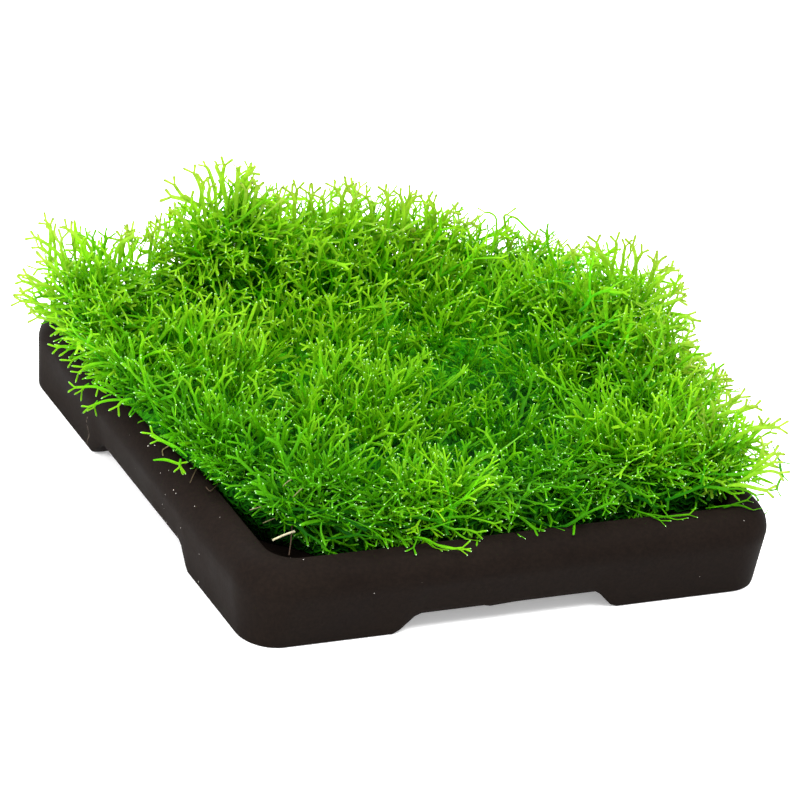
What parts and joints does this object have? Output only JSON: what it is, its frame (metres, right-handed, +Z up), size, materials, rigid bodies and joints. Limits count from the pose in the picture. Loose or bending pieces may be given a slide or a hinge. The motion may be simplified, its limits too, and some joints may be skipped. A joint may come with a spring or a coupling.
{
  "type": "crystalwort",
  "caption": "Crystalwort: a springy mat of forked bright green thalli growing on a square dark ceramic tray with corner feet.",
  "frame": {"origin": "middle of the tray's underside, level with the bottoms of its feet", "axes": "+Z up; X and Y along the tray's sides; the mat's tallest tuft stands at the back left, towards -X and +Y"},
  "size_m": [0.113, 0.1, 0.045],
  "materials": {
    "ceramic": "matte",
    "thallus": "satin"
  },
  "bodies": {
    "root": {"tray": "ceramic", "crystalwort_mat": "thallus"}
  },
  "joints": []
}
